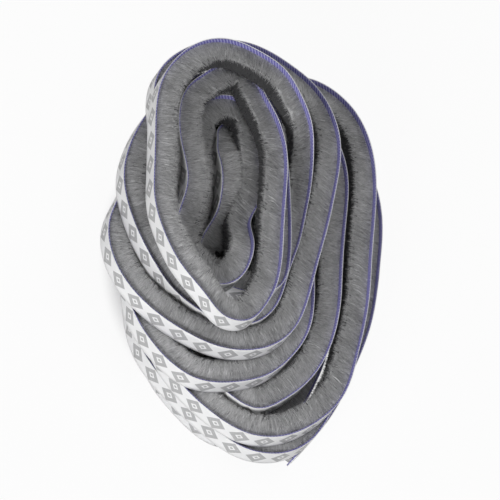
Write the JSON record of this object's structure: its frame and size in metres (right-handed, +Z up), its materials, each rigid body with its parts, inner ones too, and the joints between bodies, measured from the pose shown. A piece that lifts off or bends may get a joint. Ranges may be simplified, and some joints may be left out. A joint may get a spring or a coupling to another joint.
{
  "type": "self-adhesive weatherstrip",
  "caption": "Long grey brush-pile draught strip with a woven adhesive back and a printed paper liner, gathered in a loose fanned hank that stands on edge.",
  "frame": {"origin": "middle of the hank's plan outline, at the level of the floor that it lies on", "axes": "+Y along the hank's long way, +X across it and +Z up through the stacked turns"},
  "size_m": [0.1329, 0.1725, 0.0757],
  "materials": {
    "pile": "matte brushed fibre",
    "backing": "matte woven",
    "liner": "coated paper with light grey marks"
  },
  "bodies": {
    "root": {"brush_pile": "pile", "woven_backing": "backing", "release_liner": "liner"}
  },
  "joints": []
}
